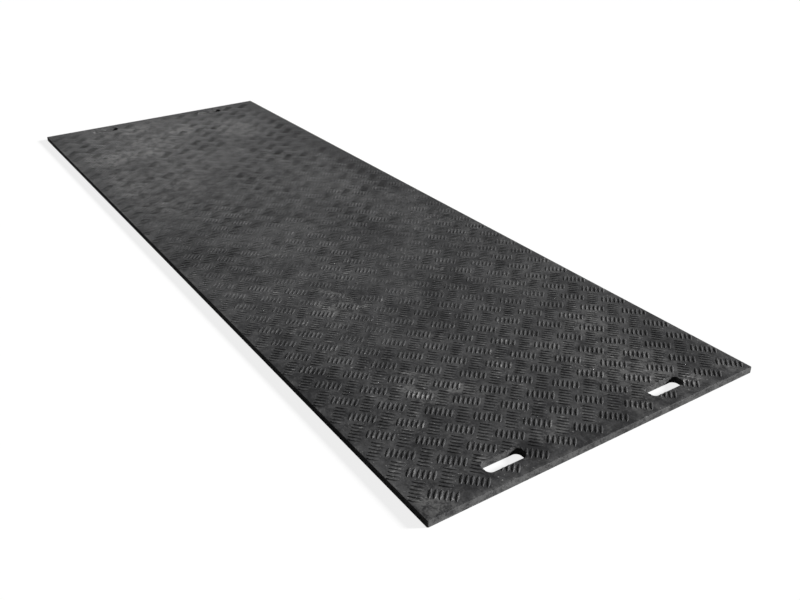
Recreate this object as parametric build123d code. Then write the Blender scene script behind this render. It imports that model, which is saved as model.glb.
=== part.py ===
from build123d import *

import os
from math import radians, tan

# Ground protection mat, moulded in one piece and lying flat on the ground.
# X runs along the mat, Y across it and Z up.
# The origin is the middle of the underside. All sizes are in millimetres.

# Plate, without the fine tread relief on its upper face
LENGTH = 3000.0
WIDTH = 1000.0
THICKNESS = 18.0
CORNER_RADIUS = 4.0
TOP_EDGE_ROUND = 2.0
UNDER_EDGE_CHAMFER = 1.0

# Slots for hands, hooks and the bars that join one mat to the next, measured at the faces
SLOT_LENGTH = 110.0
SLOT_WIDTH = 38.0
SLOT_CORNER_RADIUS = 14.0
SLOT_FROM_END = 65.0
SLOT_SPACING = 505.0
SLOT_TOP_ROUND = 1.0
SLOT_UNDER_CHAMFER = 1.0

# The two mould halves meet halfway down each slot, and its wall opens out from there both ways
SLOT_DRAFT_DEGREES = 3.0


def slot_centres():
    """The middle of each slot on the plan: two across each end of the mat."""
    reach = LENGTH / 2 - SLOT_FROM_END
    return [(end * reach, side * SLOT_SPACING / 2) for end in (-1, 1) for side in (-1, 1)]


def slot_outline(inset):
    """A slot's outline, drawn in from its mouth by the same distance all round."""
    return RectangleRounded(
        SLOT_WIDTH - 2 * inset,
        SLOT_LENGTH - 2 * inset,
        SLOT_CORNER_RADIUS - inset,
    )


def slot_half(face_height):
    """The space that one mould half leaves, from the parting line out to a face of the plate."""
    parting_height = THICKNESS / 2
    inset = parting_height * tan(radians(SLOT_DRAFT_DEGREES))
    waist = Pos(0, 0, parting_height) * slot_outline(inset)
    mouth = Pos(0, 0, face_height) * slot_outline(0)
    return loft([waist, mouth])


def slot_space():
    """The whole slot, through the full thickness of the plate."""
    return slot_half(THICKNESS) + slot_half(0)


def rims(face):
    """The edges of a flat face: those of its outer boundary, and those of its slots."""
    outer = face.outer_wire().edges()
    slots = [edge for wire in face.inner_wires() for edge in wire.edges()]
    return outer, slots


def top_face(plate):
    return plate.faces().sort_by(Axis.Z)[-1]


def under_face(plate):
    return plate.faces().sort_by(Axis.Z)[0]


def mat_plate():
    """The plate with its four slots, and its edges eased as the mould leaves them."""
    plate = extrude(RectangleRounded(LENGTH, WIDTH, CORNER_RADIUS), THICKNESS)
    for x, y in slot_centres():
        plate -= Pos(x, y) * slot_space()
    plate = fillet(rims(top_face(plate))[0], TOP_EDGE_ROUND)
    plate = fillet(rims(top_face(plate))[1], SLOT_TOP_ROUND)
    plate = chamfer(rims(under_face(plate))[0], UNDER_EDGE_CHAMFER)
    return chamfer(rims(under_face(plate))[1], SLOT_UNDER_CHAMFER)


os.makedirs("parts", exist_ok=True)
export_step(mat_plate(), "parts/mat_plate.step")
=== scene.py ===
# %% [markdown]
# Ground protection mat
#
# The object is one slab of black polyethylene, 3 m long, 1 m wide and 18 mm thick. It was pressed
# in a mould, so its tread, a basket weave of small raised bars, is part of the same slab. Lorries
# and diggers drive on it to spare a lawn or a pavement. Hands, hooks and connectors go through the
# four slots near its ends.
#
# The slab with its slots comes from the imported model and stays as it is. This lesson adds what the
# mould's fine engraving gives, the bars, and then the finish: a worn, dusty, waxy black plastic.
# Each step first says what a thing is, how it could be made, and why this way was chosen.

import bpy
import numpy as np
from mathutils import Matrix, Vector


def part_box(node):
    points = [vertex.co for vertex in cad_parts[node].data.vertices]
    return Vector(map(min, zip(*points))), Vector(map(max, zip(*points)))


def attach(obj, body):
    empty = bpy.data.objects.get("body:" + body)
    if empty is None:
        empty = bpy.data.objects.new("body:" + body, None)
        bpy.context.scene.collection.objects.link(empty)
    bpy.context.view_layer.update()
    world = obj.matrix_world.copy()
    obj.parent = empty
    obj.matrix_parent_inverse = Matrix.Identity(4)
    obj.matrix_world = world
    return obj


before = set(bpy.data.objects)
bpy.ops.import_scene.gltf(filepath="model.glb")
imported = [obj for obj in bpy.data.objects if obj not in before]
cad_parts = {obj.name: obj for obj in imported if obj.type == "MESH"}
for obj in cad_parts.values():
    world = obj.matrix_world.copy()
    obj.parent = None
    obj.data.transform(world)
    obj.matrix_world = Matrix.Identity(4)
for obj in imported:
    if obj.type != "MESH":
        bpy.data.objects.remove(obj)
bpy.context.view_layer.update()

SLAB = "mat_plate"
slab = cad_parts[SLAB]
slab_low, slab_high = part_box(SLAB)
LENGTH = slab_high.x - slab_low.x
WIDTH = slab_high.y - slab_low.y
TOP = slab_high.z
MILLIMETRE = 0.001
print(f"slab: {LENGTH:.3f} x {WIDTH:.3f} x {TOP:.3f} m")

# %% [markdown]
# The camera
#
# A photograph fixes its camera: the four corners, the height of the edge and the regular rows of
# the tread each pull the answer one way. The place, direction and lens below were solved from
# them. They are given as a place, a heading, a downward pitch and a small roll, as a photographer
# would say them, and the camera's three axes are worked out from those angles.

# %% Set up the camera
CAMERA_PLACE = Vector((2.589, -1.259, 1.239))
CAMERA_HEADING = np.radians(147.17)
CAMERA_PITCH = np.radians(-28.46)
CAMERA_ROLL = np.radians(-0.92)
PICTURE_WIDTH = 800
FOCAL_LENGTH_PIXELS = 879.9
SENSOR_WIDTH = 36.0
FARTHEST_SEEN = 200


def camera_axes(heading, pitch, roll):
    """Right, up and backward axes. Forward is the heading tipped by the pitch. Right is level,
    square to forward, and then both right and up turn about forward by the roll."""
    forward = Vector((
        np.cos(pitch) * np.cos(heading),
        np.cos(pitch) * np.sin(heading),
        np.sin(pitch),
    ))
    level = forward.cross(Vector((0, 0, 1))).normalized()
    upright = level.cross(forward)
    right = level * np.cos(roll) + upright * np.sin(roll)
    up = upright * np.cos(roll) - level * np.sin(roll)
    return right, up, -forward


def look_matrix(place, right, up, backward):
    """The three axes and the place as the columns of one matrix."""
    turn = Matrix((right, up, backward)).transposed()
    return Matrix.Translation(place) @ turn.to_4x4()


camera_data = bpy.data.cameras.new("photographer")
camera_data.sensor_width = SENSOR_WIDTH
camera_data.lens = FOCAL_LENGTH_PIXELS / PICTURE_WIDTH * SENSOR_WIDTH
camera_data.clip_end = FARTHEST_SEEN
camera = bpy.data.objects.new("photographer", camera_data)
axes = camera_axes(CAMERA_HEADING, CAMERA_PITCH, CAMERA_ROLL)
camera.matrix_world = look_matrix(CAMERA_PLACE, *axes)
bpy.context.scene.collection.objects.link(camera)
bpy.context.scene.camera = camera
print(f"camera lens: {camera_data.lens:.1f} mm")

# %% [markdown]
# The layout of the tread
#
# The bars stand in groups of six. In one kind of group the bars lean to the right, in the other to
# the left, both by 45 degrees. Each kind sits on its own square lattice, and the second lattice is
# the first one moved by half a step along and half a step across. That gives the basket weave that
# grips in every direction.
#
# The rows could be made with array modifiers, but then no single bar could be cut short at a slot
# or at the rim. So every bar is one row of a few numpy arrays: its middle and its direction.

# %% Lay out the bars
TREAD_STEP = 81.4 * MILLIMETRE
FIRST_ROW_FROM_NEAR_END = 45.2 * MILLIMETRE
FIRST_ROW_SHIFT_ACROSS = 0.7 * MILLIMETRE
ROWS_ALONG = 36
ROWS_ACROSS = 12
BARS_IN_GROUP = 6
BAR_PITCH = 11.6 * MILLIMETRE

# Plan directions. Bars that lean right run this way, and their group is stacked the other way.
LEAN_RIGHT = np.array((1, -1)) / np.sqrt(2)
LEAN_LEFT = np.array((1, 1)) / np.sqrt(2)


def group_middles(half_steps_along, half_steps_across):
    """Middles of one kind of group: a square lattice, counted from the near end and from the right
    edge, and moved by a number of half steps each way. Across, both kinds together make twice the
    rows, half a step apart, and they are centred on the slab but for a small shift."""
    half_step = TREAD_STEP / 2
    outer_row = (ROWS_ACROSS - 0.5) * half_step + FIRST_ROW_SHIFT_ACROSS
    first_x = LENGTH / 2 - FIRST_ROW_FROM_NEAR_END - half_steps_along * half_step
    first_y = outer_row - half_steps_across * half_step
    x = first_x - TREAD_STEP * np.arange(ROWS_ALONG)
    y = first_y - TREAD_STEP * np.arange(ROWS_ACROSS)
    return np.stack(np.meshgrid(x, y, indexing="ij"), axis=-1).reshape(-1, 2)


def bar_middles(groups, stacked_along):
    """Middles of the bars: each group's middle, plus evenly spaced steps to both sides of it."""
    steps = (np.arange(BARS_IN_GROUP) - (BARS_IN_GROUP - 1) / 2) * BAR_PITCH
    return (groups[:, None, :] + steps[None, :, None] * stacked_along).reshape(-1, 2)


right_leaning = bar_middles(group_middles(0, 0), LEAN_LEFT)
left_leaning = bar_middles(group_middles(1, 1), LEAN_RIGHT)
print(f"bars: {len(right_leaning)} lean right and {len(left_leaning)} lean left")

# %% [markdown]
# Keeping clear of the rim and the slots
#
# The tread stops a few millimetres inside the rim. It runs right up to the slots, though, and the
# slots cut straight through any bar in their way. So the bars need to know how far a point is from
# an edge. That distance has a formula for a rounded rectangle, the shape of both the slab and the
# slots: fold the plan onto one quarter, measure to the corner's centre, and take the corner radius
# off. Because there is a slot in every quarter, one fold of the plan serves all four of them.

# %% Distance to the edges
SLAB_CORNER = 4 * MILLIMETRE
SLOT_MIDDLE = np.array((LENGTH / 2 - 65 * MILLIMETRE, 252.5 * MILLIMETRE))
SLOT_SIZE = np.array((38, 110)) * MILLIMETRE
SLOT_CORNER = 14 * MILLIMETRE
RIM_MARGIN = 4.5 * MILLIMETRE
SLOT_MARGIN = 1.2 * MILLIMETRE


def outside_distance(plan, size, corner):
    """Distance outside a rounded rectangle at the origin, negative inside. Fold to one quarter,
    step to the corner's centre, take the length of the positive part plus the larger negative
    part, and subtract the corner radius."""
    beyond = np.abs(plan) - (np.asarray(size) / 2 - corner)
    outer = np.linalg.norm(np.maximum(beyond, 0), axis=-1)
    inner = np.minimum(beyond.max(axis=-1), 0)
    return outer + inner - corner


def is_clear(plan):
    """True where a bar may stand: inside the slab's rim and outside the slots, with a margin."""
    in_from_rim = -outside_distance(plan, (LENGTH, WIDTH), SLAB_CORNER)
    out_from_slot = outside_distance(np.abs(plan) - SLOT_MIDDLE, SLOT_SIZE, SLOT_CORNER)
    return (in_from_rim > RIM_MARGIN) & (out_from_slot > SLOT_MARGIN)


middle_to_edge = -outside_distance(np.zeros(2), SLOT_SIZE, SLOT_CORNER)
print(f"from a slot's middle to its edge: {middle_to_edge / MILLIMETRE:.1f} mm")

# %% [markdown]
# One bar as a surface
#
# A tread bar is a long lens: narrow at both ends, widest in the middle, with a crowned back. It
# could be a stretched sphere, but a sphere puts most of its faces at the poles, where nobody looks.
# Here it is a formula of two parameters instead. The first, t, runs along the bar from -1 to 1 and
# sets its half width and the height of its crest. The second, s, runs across from -1 to 1 and bends
# the crest down to the foot. Some five thousand bars share the slab, so one bar makes do with about
# thirty faces on five lines, and smooth shading does the rest.

# %% The shape of a bar
BAR_LENGTH = 35 * MILLIMETRE
BAR_WIDTH = 7.6 * MILLIMETRE
BAR_HEIGHT = 2.0 * MILLIMETRE
BAR_SINK = 0.1 * MILLIMETRE
BLUNTNESS = 2.6
SIDE_CURVE = 0.8
LINES = np.array((-1.0, -0.58, 0.0, 0.58, 1.0))


def bar_plan(middles, direction, t, s):
    """Plan places on each bar: its middle, plus t half lengths along it, plus s half widths across
    it. The half width shrinks towards the tips as one minus a power of t."""
    sideways = np.array((-direction[1], direction[0]))
    along = BAR_LENGTH / 2 * t
    across = BAR_WIDTH / 2 * (1 - np.abs(t) ** BLUNTNESS) * s
    start = middles.reshape(-1, *(1,) * (t.ndim - 1), 2)
    return start + along[..., None] * direction + across[..., None] * sideways


def bar_rise(t, s):
    """Share of the height: the crest, one minus t to the fourth, which stays level and drops near
    the tips, times one minus s squared to a power, which is a dome."""
    return (1 - t**4) * (1 - s**2) ** SIDE_CURVE


print(f"a bar's height halfway to its side: {bar_rise(0.0, 0.5):.2f} of its crest")

# %% [markdown]
# Cutting bars short
#
# Each of a bar's five lines is sampled from tip to tip, and the longest clear run of samples is
# kept. A bar in the open keeps its whole lines. Where a slot crosses it, every line ends at its own
# place on the slot's edge, so the cut follows the slot, as if it had been punched through the
# finished tread. Bars with next to nothing left are dropped.

# %% Find the free stretch of each line
SHORTEST_BAR = 5 * MILLIMETRE
SAMPLES_ON_LINE = 141


def free_stretch(middles, direction):
    """First and last clear t of each line, as arrays of bars x lines. Counting the samples since
    the last blocked one gives, at every sample, the length of the clear run that ends there. The
    longest of them is the stretch."""
    t = np.linspace(-1, 1, SAMPLES_ON_LINE)[None, :, None]
    clear = is_clear(bar_plan(middles, direction, t, LINES))
    sample = np.arange(SAMPLES_ON_LINE)[None, :, None]
    last_blocked = np.maximum.accumulate(np.where(clear, -1, sample), axis=1)
    run = sample - last_blocked
    end = run.argmax(axis=1)
    start = np.minimum(end, end - run.max(axis=1) + 1)
    return t.ravel()[start], t.ravel()[end]


def keep_bars(middles, direction):
    """The bars whose five stretches still share enough length, with those stretches."""
    first, last = free_stretch(middles, direction)
    shared = (last.min(axis=1) - first.max(axis=1)) * BAR_LENGTH / 2
    kept = shared > SHORTEST_BAR
    return middles[kept], first[kept], last[kept]


right_bars = keep_bars(right_leaning, LEAN_RIGHT)
left_bars = keep_bars(left_leaning, LEAN_LEFT)
for name, bars in (("right", right_bars), ("left", left_bars)):
    cut_bars = ((bars[1] > -1) | (bars[2] < 1)).any(axis=1).sum()
    print(f"bars leaning {name}: {len(bars[0])} kept, {cut_bars} of them cut short")

# %% [markdown]
# From lines to a mesh
#
# Seven stations are spread over the free stretch of every line. At a whole end a small gap is left
# for the tip, one point on the bar's axis at the foot. At a cut end there is no gap, and the same
# tip point closes the cut with an upright face. The foot is sunk a little into the slab and closed
# with one flat face, so each bar is a solid of its own with no gap under it.

# %% Work out the points
STATIONS = np.array((0.0, 0.11, 0.28, 0.5, 0.72, 0.89, 1.0))
TIP_GAP = 0.04


def bar_points(middles, first, last, direction, heights):
    """All points of all bars, as an array of bars x points x 3: seven stations of five points, and
    then the two tips."""
    start_gap = np.where(first > -1, 0, TIP_GAP)[:, None, :]
    end_gap = np.where(last < 1, 0, TIP_GAP)[:, None, :]
    share = start_gap + (1 - start_gap - end_gap) * STATIONS[None, :, None]
    t = first[:, None, :] + (last - first)[:, None, :] * share
    s = np.broadcast_to(LINES, t.shape)
    rise = heights[:, None, None] * bar_rise(t, s)
    body = np.concatenate((bar_plan(middles, direction, t, s), rise[..., None]), axis=-1)
    axis = len(LINES) // 2
    tip_t = np.stack((first[:, axis], last[:, axis]), axis=1)
    tip_plan = bar_plan(middles, direction, tip_t, np.zeros_like(tip_t))
    tips = np.concatenate((tip_plan, np.zeros_like(tip_t)[..., None]), axis=-1)
    points = np.concatenate((body.reshape(len(middles), -1, 3), tips), axis=1)
    points[..., 2] += TOP - BAR_SINK
    return points


# %% Faces and meshes
def bar_faces():
    """Faces of one bar: quads between neighbouring stations, a fan of triangles to each tip, and
    the flat foot, which runs down one side and back up the other."""
    rows, columns = len(STATIONS), len(LINES)
    index = np.arange(rows * columns).reshape(rows, columns)
    start, end = rows * columns, rows * columns + 1
    quads = np.stack((index[:-1, :-1], index[1:, :-1], index[1:, 1:], index[:-1, 1:]), axis=-1)
    faces = quads.reshape(-1, 4).tolist()
    faces += [(start, index[0, k], index[0, k + 1]) for k in range(columns - 1)]
    faces += [(end, index[-1, k + 1], index[-1, k]) for k in range(columns - 1)]
    foot = [start, *index[:, -1], end, *index[::-1, 0]]
    return [list(map(int, face)) for face in faces], list(map(int, foot))


def signed_volume(points, faces):
    """Volume of one closed bar: a sixth of the sum of triple products over its fanned faces. It is
    positive where the faces point outwards."""
    total = 0.0
    for face in faces:
        a = points[face[0]]
        for b, c in zip(face[1:-1], face[2:]):
            total += np.dot(a, np.cross(points[b], points[c])) / 6
    return total


def bars_mesh(name, points, crest):
    """One mesh of many bars. Each bar repeats the same faces, moved on by its first point. Crest
    says how high each point lies on its own bar, from about 0 to 1, and the finish reads it."""
    faces, foot = bar_faces()
    bars, points_each = points.shape[:2]
    loops = np.array([corner for face in (*faces, foot) for corner in face])
    sizes = np.array([len(face) for face in (*faces, foot)])
    all_loops = (loops[None, :] + points_each * np.arange(bars)[:, None]).ravel()
    all_sizes = np.tile(sizes, bars)
    mesh = bpy.data.meshes.new(name)
    mesh.vertices.add(bars * points_each)
    mesh.vertices.foreach_set("co", points.ravel())
    mesh.loops.add(len(all_loops))
    mesh.loops.foreach_set("vertex_index", all_loops)
    mesh.polygons.add(len(all_sizes))
    mesh.polygons.foreach_set("loop_start", np.concatenate(((0,), np.cumsum(all_sizes)[:-1])))
    smooth = np.tile(np.array([True] * len(faces) + [False]), bars)
    mesh.polygons.foreach_set("use_smooth", smooth)
    mesh.attributes.new("crest", "FLOAT", "POINT").data.foreach_set("value", crest.ravel())
    mesh.update(calc_edges=True)
    mesh.validate()
    return mesh


def put_on_slab(name, mesh):
    """The mesh as a piece of the mat, attached to the root body."""
    piece = bpy.data.objects.new(name, mesh)
    bpy.context.scene.collection.objects.link(piece)
    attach(piece, "root")
    return piece


# %% [markdown]
# Wear
#
# In the photograph the bars at the near end are crisp, and from about a metre on they are low and
# soft. Wheels have pressed and rubbed them down, less so along the long sides near that end, and
# unevenly, so that a crisp group can stand beside a flat one. Wear is therefore a smooth function of
# the plan: a rise from the near end, less of it on the fresh sides, and crossed waves with seeded
# directions and phases. The long waves act as slow chance, and the short ones change from group to
# group. The distances are in metres, along the mat from its near end and across from its middle.

# %% How far the bars are worn
WEAR_STARTS = 0.25
WEAR_FULL = 0.95
MOST_WEAR = 0.82
MEAN_WEAR = 0.70
WEAR_BY_CHANCE = 0.32
FRESH_SIDE_STARTS = 0.22
FRESH_SIDE_FULL = 0.44
FRESH_SIDE_LASTS = 0.8
FRESH_SIDE_ENDS = 1.3
FRESH_SHARE = 0.6
WAVES = 14
rng = np.random.default_rng(3)
wave_length = rng.uniform(0.06, 0.50, WAVES)
wave_heading = rng.uniform(0, np.pi, WAVES)
wave_phase = rng.uniform(0, 2 * np.pi, WAVES)


def smooth_step(value, low, high):
    """0 below low, 1 above high, and three squares minus two cubes between them."""
    share = np.clip((value - low) / (high - low), 0, 1)
    return share**2 * (3 - 2 * share)


def ripple(plan):
    """Smooth chance around 0, mostly between -1 and 1: the sum of the waves, over the square root of
    their number."""
    headings = np.stack((np.cos(wave_heading), np.sin(wave_heading)), axis=-1)
    turns = (plan @ headings.T) / wave_length
    return np.sin(2 * np.pi * turns + wave_phase).sum(axis=-1) / np.sqrt(WAVES)


def wear(plan):
    """Share of the height that is gone, from 0 to the most wear. It is the run from the near end,
    times less than one on the fresh sides, times the mean wear plus some chance."""
    from_near_end = LENGTH / 2 - plan[..., 0]
    run = smooth_step(from_near_end, WEAR_STARTS, WEAR_FULL)
    side = smooth_step(np.abs(plan[..., 1]), FRESH_SIDE_STARTS, FRESH_SIDE_FULL)
    fresh_side = side * smooth_step(from_near_end, FRESH_SIDE_ENDS, FRESH_SIDE_LASTS)
    chance = MEAN_WEAR + WEAR_BY_CHANCE * ripple(plan)
    worn = run * (1 - FRESH_SHARE * fresh_side) * chance
    return MOST_WEAR * np.clip(worn, 0, 1)


print(f"wear in the middle of the mat: {wear(np.zeros((1, 2)))[0]:.2f} of the height")

# %% Make the tread
LOWER_BY_CHANCE = 0.12


def bar_heights(middles):
    """Heights from one press and many wheels: less the wear, and some a little lower by chance. The
    part that is sunk into the slab is counted in."""
    chance = 1 - LOWER_BY_CHANCE * rng.random(len(middles)) ** 2
    return (BAR_HEIGHT * (1 - wear(middles)) + BAR_SINK) * chance


tread = []
for name, bars, direction in (
    ("tread_leaning_right", right_bars, LEAN_RIGHT),
    ("tread_leaning_left", left_bars, LEAN_LEFT),
):
    count = len(bars[0])
    heights = bar_heights(bars[0])
    points = bar_points(*bars, direction, heights)
    crest = (points[..., 2] - TOP) / heights[:, None]
    tread.append(put_on_slab(name, bars_mesh(name, points, crest)))
    faces, foot = bar_faces()
    whole = int(((bars[1] == -1) & (bars[2] == 1)).all(axis=1).argmax())
    millilitres = signed_volume(points[whole] - points[whole].mean(axis=0), faces + [foot]) * 1e6
    triangles = count * sum(len(face) - 2 for face in faces + [foot])
    print(f"{name}: {count} bars, {triangles} triangles, {millilitres:.3f} ml each")
    shown = (heights - BAR_SINK) / MILLIMETRE
    print(f"  they stand {shown.min():.2f} to {shown.max():.2f} mm above the slab")

# %% [markdown]
# Wiring a finish
#
# Materials are graphs of nodes. Written out one call at a time they are long and hard to read, so
# a small helper holds the graph, and each of its methods adds a node or a few and gives back what
# comes out of the last one.
# A value that is plugged in may be a plain number or another node's output.

# %% A helper for node graphs
WOBBLE_DETAIL = 4.0
WOBBLE_ROUGHNESS = 0.65
OVAL_CORE = 0.15


class Finish:
    """A material in the making. Every pattern reads the piece's own coordinates, in metres."""

    def __init__(self, name):
        self.material = bpy.data.materials.new(name)
        self.material.use_nodes = True
        self.tree = self.material.node_tree
        self.tree.nodes.clear()
        self.place = self.add("ShaderNodeTexCoord").outputs["Object"]

    def add(self, kind, plugs=(), **settings):
        """One node, with its settings made and its inputs plugged."""
        node = self.tree.nodes.new(kind)
        for setting, value in settings.items():
            setattr(node, setting, value)
        for socket, value in dict(plugs).items():
            self.plug(node.inputs[socket], value)
        return node

    def plug(self, socket, value):
        """Link an output to the socket, or else set the socket's own value."""
        if isinstance(value, bpy.types.NodeSocket):
            self.tree.links.new(value, socket)
        else:
            socket.default_value = value

    def maths(self, operation, a, b=0.0, clamp=False):
        """One step of arithmetic, on one value or on two."""
        node = self.add("ShaderNodeMath", {0: a, 1: b}, operation=operation, use_clamp=clamp)
        return node.outputs[0]

    def times(self, first, *others):
        """The product of shares: a mark shows only where all of them are high."""
        product = first
        for other in others:
            product = self.maths("MULTIPLY", product, other)
        return product

    def most(self, first, *others):
        """The largest of some shares: marks lie over each other without adding up."""
        largest = first
        for other in others:
            largest = self.maths("MAXIMUM", largest, other)
        return largest

    def weighted(self, patterns, weights):
        """The sum of the named patterns, each times its weight."""
        shares = [self.times(patterns[name], weight) for name, weight in weights.items()]
        total = shares[0]
        for share in shares[1:]:
            total = self.maths("ADD", total, share)
        return total

    def blur(self, value, low, high, to_low=0.0, to_high=1.0):
        """A smooth step: value runs from low to high, and the answer from to_low to to_high."""
        plugs = {
            "Value": value,
            "From Min": low,
            "From Max": high,
            "To Min": to_low,
            "To Max": to_high,
        }
        node = self.add("ShaderNodeMapRange", plugs, interpolation_type="SMOOTHSTEP")
        return node.outputs["Result"]

    def stretched(self, size, turn=0.0, shift=(0.0, 0.0, 0.0)):
        """The place, turned in plan, moved and scaled, so that a pattern can be long one way."""
        plugs = {"Vector": self.place, "Location": shift, "Rotation": (0, 0, turn), "Scale": size}
        return self.add("ShaderNodeMapping", plugs).outputs["Vector"]

    def noise(self, scale, detail, roughness, place=None, output="Fac"):
        """Soft chance from 0 to 1 with a middle near one half, at the place or at a changed one."""
        plugs = {
            "Vector": self.place if place is None else place,
            "Scale": scale,
            "Detail": detail,
            "Roughness": roughness,
        }
        return self.add("ShaderNodeTexNoise", plugs).outputs[output]

    def wobbled(self, reach, scale):
        """The place, moved about by up to half the reach each way, so that a plain oval drawn there
        comes out with a ragged outline."""
        colour = self.noise(scale, WOBBLE_DETAIL, WOBBLE_ROUGHNESS, output="Color")
        plugs = {0: colour, 1: (0.5, 0.5, 0.5)}
        centred = self.add("ShaderNodeVectorMath", plugs, operation="SUBTRACT")
        plugs = {0: centred.outputs[0], 1: (reach, reach, 0.0), 2: self.place}
        return self.add("ShaderNodeVectorMath", plugs, operation="MULTIPLY_ADD").outputs[0]

    def oval(self, place, middle, reach, turn):
        """1 in the middle of an oval patch, falling to 0 at its edge. In texture mode the Mapping
        node moves the patch's middle to the origin, turns it and divides it by its reach, so the
        oval becomes a unit circle, and the distance from the origin does the rest."""
        plugs = {
            "Vector": place,
            "Location": (*middle, 0),
            "Rotation": (0, 0, turn),
            "Scale": (*reach, 1),
        }
        unit = self.add("ShaderNodeMapping", plugs, vector_type="TEXTURE").outputs["Vector"]
        distance = self.add("ShaderNodeVectorMath", {0: unit}, operation="LENGTH").outputs["Value"]
        return self.blur(distance, 1.0, OVAL_CORE)

    def crest(self):
        """How high a point lies on its own bar, from about 0 to 1, as the bar's mesh says."""
        return self.add("ShaderNodeAttribute", attribute_name="crest").outputs["Fac"]

    def mix(self, share, first, second):
        """From the first colour to the second, by the share."""
        node = self.add("ShaderNodeMix", data_type="RGBA", clamp_factor=True)
        self.plug(node.inputs[0], share)
        self.plug(node.inputs[6], first)
        self.plug(node.inputs[7], second)
        return node.outputs[2]

    def done(self, plugs, relief, depth):
        """Wire the surface: a shader with these plugs, and with the relief as bump, to the output."""
        bump = self.add("ShaderNodeBump", {"Height": relief, "Distance": depth, "Strength": 1.0})
        plugs = {**plugs, "Normal": bump.outputs["Normal"]}
        shader = self.add("ShaderNodeBsdfPrincipled", plugs)
        self.add("ShaderNodeOutputMaterial", {"Surface": shader.outputs["BSDF"]})
        return self.material


# %% [markdown]
# Where each mark may lie
#
# Most marks keep to one part of the mat: dust gathers along the rim, the ends are rough and grey
# from dragging, and hooks scuff the edges of the slots. Each such part is a share from 0 to 1 made
# from the coordinates alone. Folding the plan with an absolute value serves all four slots with one
# set of nodes, as it did for the bars.

# %% Parts of the mat
RIM_REACH = 14 * MILLIMETRE
SLOT_REACH = 14 * MILLIMETRE
# Where a share starts and where it is full, in millimetres below the top, or in from an edge.
WALL_BELOW_TOP = (1.0, 2.2)
ROUNDING_FROM_BELOW = (2.2, 1.4)
ROUNDING_FROM_ABOVE = (0.0, 0.4)
END_FACE_FROM_END = (2.0, 1.0)
SLOT_WALL_FROM_RIM = (2.0, 3.0)


def part_shares(finish):
    """Shares for the rough walls, the top edge's rounding, the rim and the slots' surroundings."""
    x, y, z = finish.add("ShaderNodeSeparateXYZ", {"Vector": finish.place}).outputs
    across, along = finish.maths("ABSOLUTE", y), finish.maths("ABSOLUTE", x)
    from_end = finish.maths("SUBTRACT", LENGTH / 2, along)
    from_side = finish.maths("SUBTRACT", WIDTH / 2, across)
    from_rim = finish.maths("MINIMUM", from_end, from_side)
    slot_x = finish.maths("ABSOLUTE", finish.maths("SUBTRACT", along, float(SLOT_MIDDLE[0])))
    slot_y = finish.maths("ABSOLUTE", finish.maths("SUBTRACT", across, float(SLOT_MIDDLE[1])))
    beyond_x = finish.maths("SUBTRACT", slot_x, float(SLOT_SIZE[0] / 2))
    beyond_y = finish.maths("SUBTRACT", slot_y, float(SLOT_SIZE[1] / 2))
    from_slot = finish.maths("MAXIMUM", beyond_x, beyond_y)

    def below_top(starts, full):
        """A share that depends on the depth under the top."""
        return finish.blur(z, TOP - starts * MILLIMETRE, TOP - full * MILLIMETRE)

    def inwards(distance, starts, full):
        """A share that depends on the distance in from an edge."""
        return finish.blur(distance, starts * MILLIMETRE, full * MILLIMETRE)

    below = below_top(*WALL_BELOW_TOP)
    above = finish.maths("SUBTRACT", 1.0, below)
    return {
        "end": finish.times(below, inwards(from_end, *END_FACE_FROM_END)),
        "wall": finish.times(below, inwards(from_rim, *SLOT_WALL_FROM_RIM)),
        "rounding": finish.times(below_top(*ROUNDING_FROM_BELOW), below_top(*ROUNDING_FROM_ABOVE)),
        "rim": finish.times(above, finish.blur(from_rim, RIM_REACH, 0.0)),
        "slot": finish.times(above, finish.blur(from_slot, SLOT_REACH, 0.0)),
    }
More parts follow.
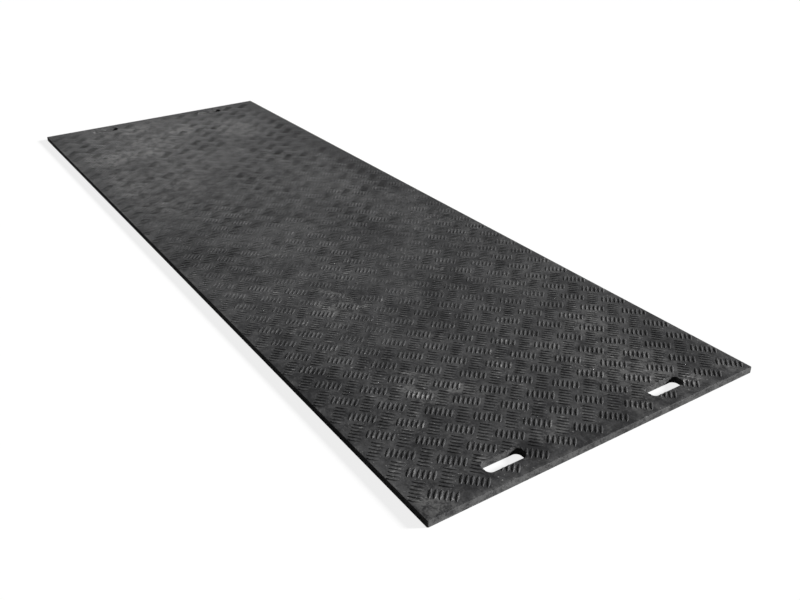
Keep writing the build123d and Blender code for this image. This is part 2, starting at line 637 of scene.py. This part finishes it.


# %% [markdown]
# Dust clouds, bare places, painted shade and sheen, and scuffs
#
# Clouds of dried mud, bare dark places and bright scuffs lie where chance put them on this mat, and
# noise alone would put them elsewhere. They are placed one by one: a short list gives each one's
# middle and reach in metres, its turn in degrees and its strength. A ragged outline and a mottle
# inside keep them from looking like ovals.

# %% The marks on this mat
CLOUD_WOBBLE = (0.16, 8.0)
SCUFF_WOBBLE = (0.025, 30.0)
DUST_CLOUDS_AND_PAINTED_SHEEN = (
    # The first, broad cloud over the far half is partly painted sheen: a lightening that a flat view
    # gives the far end, speckled like dust. The rest are dust.
    ((-1.05, -0.12), (1.10, 0.46), 0, 0.36),
    ((-1.03, -0.29), (0.16, 0.28), 0, 1.05),
    ((-1.13, -0.17), (0.22, 0.12), 0, 0.90),
    ((-1.23, 0.03), (0.15, 0.17), 0, 1.10),
    ((-1.37, -0.12), (0.12, 0.13), 0, 1.10),
    ((-1.13, 0.25), (0.26, 0.15), 10, 0.85),
    ((-0.42, -0.33), (0.28, 0.16), 0, 0.30),
    ((-0.70, -0.25), (0.28, 0.20), 0, 0.40),
    ((-0.86, -0.14), (0.18, 0.10), 0, 0.40),
    ((-1.15, -0.08), (0.26, 0.12), 0, 0.85),
    ((-1.01, -0.17), (0.09, 0.08), 0, 1.25),
    ((-0.58, -0.20), (0.14, 0.14), 0, 0.55),
    ((-0.70, -0.38), (0.34, 0.12), 0, 0.60),
    ((-0.17, 0.27), (0.14, 0.09), 0, 0.30),
    ((-0.50, 0.22), (0.40, 0.05), -3, 0.25),
    ((-0.37, 0.05), (0.09, 0.14), 0, 0.25),
    ((1.33, 0.25), (0.18, 0.18), 0, 0.60),
    ((1.10, 0.32), (0.11, 0.10), 0, 0.50),
    ((1.13, -0.24), (0.13, 0.09), 15, 0.35),
    ((1.19, -0.16), (0.16, 0.06), 30, 0.30),
    ((0.64, -0.21), (0.12, 0.10), 0, 0.35),
    ((1.42, -0.11), (0.06, 0.06), 0, 0.40),
    ((1.45, 0.15), (0.07, 0.07), 0, 0.50),
    ((1.16, 0.15), (0.10, 0.08), 0, 0.40),
    ((0.81, 0.33), (0.10, 0.10), 0, 0.25),
    ((1.47, -0.46), (0.09, 0.07), 0, 0.60),
    ((1.47, 0.46), (0.06, 0.06), 0, 0.50),
)
BARE_PLACES_AND_PAINTED_SHADE = (
    # The first entry is painted shade: a long band along the right edge over the far half, darkened
    # as if that edge sloped away from the light. The rest are bare places.
    ((-0.58, 0.48), (1.10, 0.10), 0, 1.00),
    ((-1.44, 0.47), (0.20, 0.12), 0, 1.00),
    ((-1.52, 0.00), (0.09, 0.75), 0, 0.90),
    ((-1.42, -0.44), (0.18, 0.14), 0, 0.90),
    ((0.90, -0.01), (0.16, 0.09), 0, 0.30),
    ((0.69, 0.12), (0.12, 0.10), 0, 0.40),
    ((0.55, -0.15), (0.20, 0.12), 0, 0.25),
    ((0.95, -0.28), (0.14, 0.10), 0, 0.35),
    ((-0.52, 0.04), (0.14, 0.09), 0, 0.35),
    ((-0.96, 0.05), (0.14, 0.08), 0, 0.25),
    ((-0.84, -0.26), (0.06, 0.06), 0, 0.60),
    ((0.20, 0.16), (0.20, 0.08), 0, 0.35),
    ((1.44, -0.20), (0.06, 0.14), 0, 0.60),
    ((1.47, 0.10), (0.05, 0.30), 0, 0.30),
    ((0.12, -0.40), (0.22, 0.12), 0, 0.40),
    ((0.90, -0.45), (0.14, 0.08), 0, 0.45),
)
SCUFFS = (
    ((0.62, -0.24), (0.08, 0.026), 20, 0.9),
    ((0.53, -0.19), (0.07, 0.014), 35, 0.9),
    ((0.67, -0.15), (0.05, 0.014), 80, 1.0),
    ((1.11, -0.27), (0.08, 0.026), 20, 0.9),
    ((1.04, -0.23), (0.07, 0.014), 35, 0.9),
    ((1.16, -0.17), (0.05, 0.020), 80, 1.0),
    ((1.19, -0.32), (0.05, 0.018), -30, 0.5),
    ((1.15, -0.156), (0.018, 0.010), 0, 1.0),
    ((1.26, 0.246), (0.020, 0.012), 0, 1.0),
    ((1.376, 0.112), (0.012, 0.008), 0, 1.0),
    ((0.554, -0.188), (0.014, 0.008), 0, 1.0),
    ((1.452, 0.325), (0.034, 0.044), 0, 1.6),
    ((1.395, 0.26), (0.016, 0.070), 0, 0.6),
    ((1.408, -0.29), (0.012, 0.045), 0, 0.5),
)


def marks(finish, place, places):
    """The largest share of a list of ovals."""
    shares = [
        finish.times(finish.oval(place, middle, reach, np.radians(turn)), strength)
        for middle, reach, turn, strength in places
    ]
    return finish.most(*shares)


print(f"marks: {len(DUST_CLOUDS_AND_PAINTED_SHEEN)} clouds, {len(BARE_PLACES_AND_PAINTED_SHADE)} bare places, {len(SCUFFS)} scuffs")

# %% [markdown]
# Black polyethylene, used outdoors
#
# The plastic is recycled and filled with soot, so it is black right through, but it never looks
# pure black. Its skin is cloudy where the melt flowed together. Dried mud leaves a thin grey film
# in patches. Wheels rub the tops of the bars, and small stones leave pale specks. All this is chance
# at different scales, so each is a noise of its own, from clouds a third of a metre wide down to a
# grain of two millimetres. The functions below build it up in that order: the black, the film of
# dust over it, and the pale marks over both.
# Some of this colour is painted light: painted shade in a band along the right edge, painted sheen
# over the far half, and painted shade on the top edge's rounding and at the bars' feet.

# %% The black
SOOT_BLACK = (0.020, 0.020, 0.021, 1)
CLOUDY_BLACK = (0.066, 0.066, 0.067, 1)
# The scale, the detail and the roughness of each noise, from coarse to fine.
NOISES = {
    "clouds": (3.0, 4.0, 0.6),
    "blotches": (13.0, 4.0, 0.6),
    "mottle": (46.0, 4.0, 0.65),
    "fine": (210.0, 3.0, 0.6),
    "grain": (520.0, 2.0, 0.6),
}
CLOUDINESS = {"clouds": 0.18, "blotches": 0.26, "mottle": 0.34, "fine": 0.22}
CLOUDY_FROM, CLOUDY_TO = 0.40, 0.60


def patterns(finish):
    """All the noises, by the size of what they stand for."""
    return {name: finish.noise(*recipe) for name, recipe in NOISES.items()}


def black_plastic(finish, chance, bare_and_shade):
    """Soot black to cloudy black, by a mixture of all scales but the finest, less the bare places
    and the painted shade along the right edge.
    """
    tone = finish.blur(finish.weighted(chance, CLOUDINESS), CLOUDY_FROM, CLOUDY_TO)
    lit_tone = finish.maths("SUBTRACT", tone, bare_and_shade, clamp=True)
    return finish.mix(lit_tone, SOOT_BLACK, CLOUDY_BLACK)


# %% The dust
# The grey of the dust, and of the painted sheen over the far half.
DUST_AND_SHEEN_GREY = (0.150, 0.149, 0.147, 1)
CLOUD_SPECKLE = {"mottle": 0.6, "fine": 0.4}
RIM_DUST = 0.35
WALL_DUST = {"end": 0.44, "wall": 0.45}
# Where each pattern starts and is full, and the least and the most that it gives.
IN_CLOUDS = (0.42, 0.58, 0.05, 1.0)
RIM_BLOTCHES = (0.42, 0.62)
RIM_SPECKLE = (0.3, 0.6)
ON_WALLS = (0.80, 1.15, 0.15, 1.0)


def dust_and_sheen_film(finish, part, chance, bare_and_shade):
    """Thin grey dust in clouds, along the rim, on the ends and on the slots' walls. The broad cloud
    over the far half is partly painted sheen, and the rim's dust is kept off the bare places and the
    painted shade.
    """
    inside = finish.blur(finish.weighted(chance, CLOUD_SPECKLE), *IN_CLOUDS)
    clouds = marks(finish, finish.wobbled(*CLOUD_WOBBLE), DUST_CLOUDS_AND_PAINTED_SHEEN)
    clouded_and_sheened = finish.times(clouds, inside)
    blotchy = finish.blur(chance["blotches"], *RIM_BLOTCHES)
    speckled = finish.blur(chance["fine"], *RIM_SPECKLE)
    kept = finish.maths("SUBTRACT", 1.0, bare_and_shade)
    rim = finish.times(part["rim"], blotchy, speckled, kept, RIM_DUST)
    rough = finish.maths("ADD", chance["fine"], chance["mottle"])
    sides = finish.times(finish.weighted(part, WALL_DUST), finish.blur(rough, *ON_WALLS))
    return finish.most(clouded_and_sheened, rim, sides)


# %% The pale marks
SCUFF_GREY = (0.300, 0.298, 0.294, 1)
# Each pattern's noise as above, its stretch, turn and shift, and where it starts and is full.
PALE_PATTERNS = {
    "traffic": ((5.5, 5.0, 0.7), (1.0, 1.0, 1.0), 0.0, (0.0, 7.0, 0.0), (0.50, 0.68)),
    "scratches": ((90.0, 3.0, 0.7), (1.0, 0.35, 1.0), 0.7, (0.0, 0.0, 0.0), (0.48, 0.62)),
    "torn": ((160.0, 3.0, 0.7), (1.0, 0.4, 1.0), 0.4, (0.0, 0.0, 0.0), (0.42, 0.60)),
    "stones": ((190.0, 2.0, 0.5), (1.0, 1.0, 1.0), 0.0, (2.0, 3.0, 5.0), (0.67, 0.73)),
}
RUBBED_CREST = (0.30, 0.95)
RUBBED_ON_BARS = 0.9
RUBBED_ON_SLAB = 0.15
POLISH = 0.03
POLISH_MOTTLE = (0.35, 0.65, 0.2, 1.0)
SCUFFED_LOW_DOWN = 0.4
HOOKED = 0.15
HOOKED_SPECKLE = (0.45, 0.60)
SPECKS = 0.8
SPECK_BLOTCHES = (0.38, 0.58)


def pale_patterns(finish):
    """The patterns of the pale marks, each from 0 to 1."""
    return {
        name: finish.blur(finish.noise(*recipe, finish.stretched(size, turn, shift)), *shown)
        for name, (recipe, size, turn, shift, shown) in PALE_PATTERNS.items()
    }


def worn_by_wheels(finish, chance, rubbed):
    """How pale wheels have rubbed a bar, and how far scuffs reach down it. Both grow with height."""
    height = finish.blur(finish.crest(), *RUBBED_CREST)
    polish = finish.times(height, finish.blur(chance["mottle"], *POLISH_MOTTLE), POLISH)
    worn = finish.most(finish.times(rubbed, height, RUBBED_ON_BARS), polish)
    reached = finish.maths("ADD", finish.times(height, 1 - SCUFFED_LOW_DOWN), SCUFFED_LOW_DOWN)
    return worn, reached


def pale_marks(finish, part, chance, crested):
    """Plastic rubbed to a paler grey by wheels and hooks, and small specks left by stones."""
    pale = pale_patterns(finish)
    rubbed = finish.times(pale["traffic"], pale["scratches"])
    if crested:
        worn, reached = worn_by_wheels(finish, chance, rubbed)
    else:
        worn, reached = finish.times(rubbed, RUBBED_ON_SLAB), SCUFFED_LOW_DOWN
    scuffs = marks(finish, finish.wobbled(*SCUFF_WOBBLE), SCUFFS)
    scuffed = finish.times(scuffs, pale["torn"], reached)
    speckled = finish.blur(chance["fine"], *HOOKED_SPECKLE)
    hooked = finish.times(part["slot"], pale["torn"], speckled, HOOKED)
    specks = finish.times(pale["stones"], finish.blur(chance["blotches"], *SPECK_BLOTCHES), SPECKS)
    return finish.most(worn, scuffed, hooked, specks)


# %% [markdown]
# The finest dust
#
# The finest dust lies everywhere. Seen from above it hardly shows, but at a flat angle it catches
# the light and greys the far end of the mat. Sheen, which was made for velvet, does just that, so
# the shader's sheen stands for this dust. It is the same all over the mat.

# %% The whole finish
PLASTIC_IOR = 1.5
SPECULAR = 0.3
SHEEN = 0.125
SHEEN_ROUGHNESS = 0.3
SKIN_DEPTH = 0.4 * MILLIMETRE
SKIN_RELIEF = {"fine": 0.8, "grain": 0.25, "mottle": 1.2}
SKIN_ROUGHNESS = (0.0, 1.3, 0.46, 0.66)
MOTTLE_IN_ROUGHNESS = 0.5
ROUNDING_ROUGHNESS = 0.75
# Painted shade: how far the top edge's rounding and the bars' feet are mixed towards soot black, and
# below which crest height the feet darken.
ROUNDING_SHADE = 0.35
FOOT_SHADE = 0.6
FOOT_CREST = (0.55, 0.05)


def polyethylene(name, crested):
    """The mat's plastic. Where a piece is crested, its attribute of that name says where wheels rub
    it and where the bars' feet take painted shade; the slab has none and is rubbed a little all
    over."""
    finish = Finish(name)
    part = part_shares(finish)
    chance = patterns(finish)

    bare_and_shade = marks(finish, finish.wobbled(*CLOUD_WOBBLE), BARE_PLACES_AND_PAINTED_SHADE)
    film = dust_and_sheen_film(finish, part, chance, bare_and_shade)
    dusty_with_painted_light = finish.mix(film, black_plastic(finish, chance, bare_and_shade), DUST_AND_SHEEN_GREY)
    marked = finish.mix(pale_marks(finish, part, chance, crested), dusty_with_painted_light, SCUFF_GREY)
    # Painted shade: the top edge's rounding is darkened so that it shows no highlight, and the bars'
    # feet are darkened where they meet the slab, as the shade in those creases.
    painted_shade = finish.times(part["rounding"], ROUNDING_SHADE)
    if crested:
        foot = finish.blur(finish.crest(), *FOOT_CREST)
        painted_shade = finish.most(painted_shade, finish.times(foot, FOOT_SHADE))

    worn_skin = finish.maths("ADD", film, finish.times(chance["mottle"], MOTTLE_IN_ROUGHNESS))
    skin_roughness = finish.blur(worn_skin, *SKIN_ROUGHNESS)
    rounding_roughness = finish.times(part["rounding"], ROUNDING_ROUGHNESS)
    plugs = {
        "Base Color": finish.mix(painted_shade, marked, SOOT_BLACK),
        "Roughness": finish.most(skin_roughness, rounding_roughness),
        "IOR": PLASTIC_IOR,
        "Specular IOR Level": SPECULAR,
        "Sheen Weight": SHEEN,
        "Sheen Roughness": SHEEN_ROUGHNESS,
    }
    return finish.done(plugs, finish.weighted(chance, SKIN_RELIEF), SKIN_DEPTH)


slab_plastic = polyethylene("black_polyethylene_slab", crested=False)
tread_plastic = polyethylene("black_polyethylene_tread", crested=True)

for index in range(len(slab.material_slots)):
    slab.material_slots[index].material = slab_plastic
for piece in tread:
    piece.data.materials.append(tread_plastic)
print(f"finish: {len(slab.material_slots)} slot on the slab, {len(tread)} pieces of tread")

# %% [markdown]
# The floor, the background and the light
#
# The photograph shows the mat cut out on white. Its near end and the right sides of the bars are
# bright, and its long left side is nearly black: the light came from the right, over the near
# corner. A sun lamp gives the whole floor the same light. The sky fills the shadows a little.
#
# A white floor could be a bright one, but its light would bounce up and grey the black sides. So the
# floor is a dull grey that the lamp lights, and on top of that it glows, but only for rays that look
# at it: the camera's, those through clear things, and those mirrored in glossy ones. Close to the
# mat the mirrored glow is left out, because the floor there lies in the mat's own shade.

# %% Floor
FLOOR_SIZE = 60.0
FLOOR_COLOUR = (0.18, 0.18, 0.18, 1)
FLOOR_LIFT = 0.83

floor_mesh = bpy.data.meshes.new("floor")
half_floor = FLOOR_SIZE / 2
corner_signs = ((-1, -1), (1, -1), (1, 1), (-1, 1))
floor_corners = [(x * half_floor, y * half_floor, 0.0) for x, y in corner_signs]
floor_mesh.from_pydata(floor_corners, [], [(0, 1, 2, 3)])
floor = bpy.data.objects.new("floor", floor_mesh)
bpy.context.scene.collection.objects.link(floor)

GLOW_FROM = 0.8
GLOW_FULL = 1.8


def floor_material():
    """Grey paper, with a glow that only looking rays see. The distance that fades the mirrored glow
    is counted in lengths and widths of the mat, so the fade keeps the mat's proportions."""
    finish = Finish("floor_paper")
    paper = finish.add("ShaderNodeBsdfDiffuse", {"Color": FLOOR_COLOUR}).outputs[0]
    ray = finish.add("ShaderNodeLightPath").outputs
    in_mats = finish.stretched((1 / LENGTH, 1 / WIDTH, 1))
    distance = finish.add("ShaderNodeVectorMath", {0: in_mats}, operation="LENGTH").outputs["Value"]
    away = finish.blur(distance, GLOW_FROM, GLOW_FULL)
    mirrored = finish.times(ray["Is Glossy Ray"], away)
    seen = finish.most(ray["Is Camera Ray"], ray["Is Transmission Ray"], mirrored)
    glow = finish.add("ShaderNodeEmission", {"Strength": finish.times(seen, FLOOR_LIFT)})
    both = finish.add("ShaderNodeAddShader", {0: paper, 1: glow.outputs[0]}).outputs[0]
    finish.add("ShaderNodeOutputMaterial", {"Surface": both})
    return finish.material


floor_mesh.materials.append(floor_material())
print(f"floor: {FLOOR_SIZE:.0f} m square")

# %% [markdown]
# The sky
#
# The sky does two jobs, and they need different levels. As a light it is dim, a twelfth of white. As
# the background it is plain white for the camera and through clear things. A mirror would show that
# white too, but this mat's waxy skin mirrors a wide part of the sky at every point, and the dark
# strokes between the bars would turn grey. So only a band along the horizon is white for mirrored
# rays, which is where a backdrop behind the mat would stand.

# %% World
SKY_LEVEL = 0.08
BAND_FULL_BELOW = np.radians(6)
BAND_GONE_ABOVE = np.radians(12)


def white_background():
    """A dim sky for light, and white for rays that look at it."""
    world = bpy.data.worlds.new("studio")
    world.use_nodes = True
    nodes, links = world.node_tree.nodes, world.node_tree.links
    nodes.clear()

    def maths(operation, first, second):
        node = nodes.new("ShaderNodeMath")
        node.operation = operation
        links.new(first, node.inputs[0])
        links.new(second, node.inputs[1])
        return node.outputs[0]

    ray = nodes.new("ShaderNodeLightPath").outputs
    split = nodes.new("ShaderNodeSeparateXYZ")
    links.new(nodes.new("ShaderNodeTexCoord").outputs["Generated"], split.inputs[0])
    band = nodes.new("ShaderNodeMapRange")
    band.interpolation_type = "SMOOTHSTEP"
    band.inputs["From Min"].default_value = np.sin(BAND_GONE_ABOVE)
    band.inputs["From Max"].default_value = np.sin(BAND_FULL_BELOW)
    links.new(split.outputs["Z"], band.inputs["Value"])
    mirrored = maths("MULTIPLY", ray["Is Glossy Ray"], band.outputs["Result"])
    direct = maths("MAXIMUM", ray["Is Camera Ray"], ray["Is Transmission Ray"])
    level = nodes.new("ShaderNodeMapRange")
    level.inputs["To Min"].default_value = SKY_LEVEL
    level.inputs["To Max"].default_value = 1.0
    links.new(maths("MAXIMUM", direct, mirrored), level.inputs["Value"])
    sky = nodes.new("ShaderNodeBackground")
    sky.inputs["Color"].default_value = (1, 1, 1, 1)
    links.new(level.outputs["Result"], sky.inputs["Strength"])
    output = nodes.new("ShaderNodeOutputWorld")
    links.new(sky.outputs[0], output.inputs["Surface"])
    return world


bpy.context.scene.world = white_background()
print(f"sky: {SKY_LEVEL:.2f} of white as a light")

# %% Lamp
SUN_HEADING = np.radians(58)
SUN_HEIGHT = np.radians(21)
SUN_STRENGTH = 7.9
SUN_WIDTH = np.radians(9)

sun_data = bpy.data.lights.new("window_light", "SUN")
sun_data.energy = SUN_STRENGTH
sun_data.angle = SUN_WIDTH
sun = bpy.data.objects.new("window_light", sun_data)
towards_sun = Vector((
    np.cos(SUN_HEIGHT) * np.cos(SUN_HEADING),
    np.cos(SUN_HEIGHT) * np.sin(SUN_HEADING),
    np.sin(SUN_HEIGHT),
))
sun.rotation_euler = towards_sun.to_track_quat("Z", "Y").to_euler()
bpy.context.scene.collection.objects.link(sun)

bpy.context.scene.view_settings.view_transform = "Standard"
floor_light = SUN_STRENGTH * np.sin(SUN_HEIGHT) / np.pi + SKY_LEVEL
print(f"light on the floor: {floor_light:.2f} of plain white")
